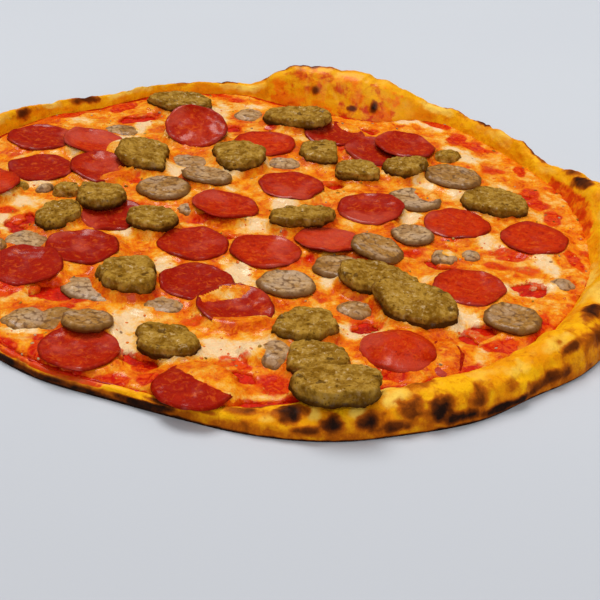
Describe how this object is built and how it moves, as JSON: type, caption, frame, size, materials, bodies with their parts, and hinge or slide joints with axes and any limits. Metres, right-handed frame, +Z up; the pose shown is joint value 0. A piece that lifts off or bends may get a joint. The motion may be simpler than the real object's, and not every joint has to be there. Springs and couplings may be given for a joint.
{
  "type": "meat pizza",
  "caption": "Whole thin-crust pizza with a puffy charred rim, tomato sauce, melted cheese, and slices of pepperoni, sausage and meatball.",
  "frame": {"origin": "middle of the flat underside, on the surface that the pizza lies on", "axes": "+Z up through the toppings; the pictured front faces -Y, and the big crust bubble is at +Y"},
  "size_m": [0.4098, 0.4082, 0.0321],
  "materials": {
    "baked_crust": "baked dough, golden with brown and black blisters",
    "tomato_sauce": "wet, glossy red",
    "mozzarella": "melted, oily, cream mottled with orange",
    "pepperoni": "oily, brick red with fat specks",
    "sausage": "cooked, grey-tan with a darker casing edge",
    "meatball": "cooked, crumbly, olive brown"
  },
  "bodies": {
    "root": {"pizza_crust": "baked_crust", "tomato_sauce": "tomato_sauce", "mozzarella": "mozzarella", "sausage_slice_01": "sausage", "sausage_slice_02": "sausage", "sausage_slice_03": "sausage", "sausage_slice_04": "sausage", "sausage_slice_05": "sausage", "sausage_slice_06": "sausage", "sausage_slice_07": "sausage", "sausage_slice_08": "sausage", "sausage_slice_09": "sausage", "sausage_slice_10": "sausage", "pepperoni_01": "pepperoni", "pepperoni_02": "pepperoni", "pepperoni_03": "pepperoni", "pepperoni_04": "pepperoni", "pepperoni_05": "pepperoni", "pepperoni_06": "pepperoni", "pepperoni_07": "pepperoni", "pepperoni_08": "pepperoni", "pepperoni_09": "pepperoni", "pepperoni_10": "pepperoni", "pepperoni_11": "pepperoni", "pepperoni_12": "pepperoni", "pepperoni_13": "pepperoni", "pepperoni_14": "pepperoni", "pepperoni_15": "pepperoni", "pepperoni_16": "pepperoni", "pepperoni_17": "pepperoni", "pepperoni_18": "pepperoni", "pepperoni_19": "pepperoni", "pepperoni_20": "pepperoni", "pepperoni_21": "pepperoni", "pepperoni_22": "pepperoni", "pepperoni_23": "pepperoni", "pepperoni_24": "pepperoni", "pepperoni_25": "pepperoni", "pepperoni_26": "pepperoni", "pepperoni_27": "pepperoni", "meatball_slice_01": "meatball", "meatball_slice_02": "meatball", "meatball_slice_03": "meatball", "meatball_slice_04": "meatball", "meatball_slice_05": "meatball", "meatball_slice_06": "meatball", "meatball_slice_07": "meatball", "meatball_slice_08": "meatball", "meatball_slice_09": "meatball", "meatball_slice_10": "meatball", "meatball_slice_11": "meatball", "meatball_slice_12": "meatball", "meatball_slice_13": "meatball", "meatball_slice_14": "meatball", "meatball_slice_15": "meatball", "meatball_slice_16": "meatball", "meatball_slice_17": "meatball", "meatball_slice_18": "meatball", "meatball_slice_19": "meatball", "meatball_slice_20": "meatball"}
  },
  "joints": []
}
